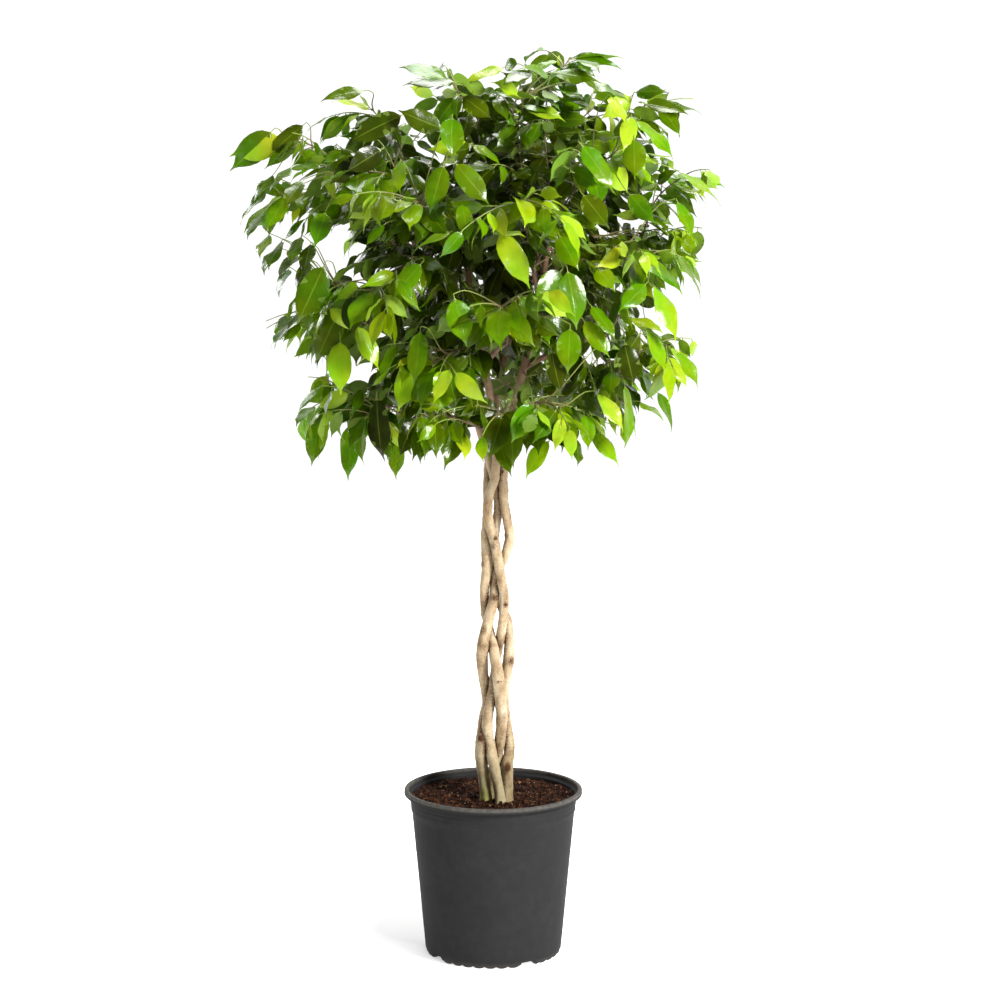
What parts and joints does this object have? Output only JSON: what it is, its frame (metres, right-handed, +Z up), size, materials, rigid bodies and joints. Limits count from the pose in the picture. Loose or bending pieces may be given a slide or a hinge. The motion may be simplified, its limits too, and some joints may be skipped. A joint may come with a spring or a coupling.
{
  "type": "potted weeping fig",
  "caption": "Weeping fig grown as a standard: plaited bare trunk, round weeping crown of small pointed leaves, in a plain round nursery pot.",
  "frame": {"origin": "centre of the pot's flat underside, on the surface that the pot stands on", "axes": "+Z straight up along the pot's axis and the trunk, -Y towards the front that the picture shows, +X to the picture's right"},
  "size_m": [0.6834, 0.6318, 1.284],
  "materials": {
    "pot_plastic": "matte",
    "potting_mix": "matte",
    "fig_bark": "matte",
    "fig_leaf": "satin"
  },
  "bodies": {
    "root": {"pot": "pot_plastic", "soil": "potting_mix", "spray_01": "fig_leaf", "spray_02": "fig_leaf", "spray_03": "fig_leaf", "spray_04": "fig_leaf", "spray_05": "fig_leaf", "spray_06": "fig_leaf", "spray_07": "fig_leaf", "spray_08": "fig_leaf", "spray_09": "fig_leaf", "spray_10": "fig_leaf", "spray_11": "fig_leaf", "spray_12": "fig_leaf", "spray_13": "fig_leaf", "spray_14": "fig_leaf", "spray_15": "fig_leaf", "spray_16": "fig_leaf", "spray_17": "fig_leaf", "spray_18": "fig_leaf", "spray_19": "fig_leaf", "spray_20": "fig_leaf", "spray_21": "fig_leaf", "spray_22": "fig_leaf", "spray_23": "fig_leaf", "spray_24": "fig_leaf", "spray_25": "fig_leaf", "spray_26": "fig_leaf", "spray_27": "fig_leaf", "spray_28": "fig_leaf", "spray_29": "fig_leaf", "spray_30": "fig_leaf", "spray_31": "fig_leaf", "spray_32": "fig_leaf", "spray_33": "fig_leaf", "spray_34": "fig_leaf", "spray_35": "fig_leaf", "spray_36": "fig_leaf", "spray_37": "fig_leaf", "spray_38": "fig_leaf", "spray_39": "fig_leaf", "spray_40": "fig_leaf", "spray_41": "fig_leaf", "spray_42": "fig_leaf", "spray_43": "fig_leaf", "spray_44": "fig_leaf", "stem_1": "fig_bark", "stem_2": "fig_bark", "stem_3": "fig_bark", "stem_4": "fig_bark"}
  },
  "joints": []
}
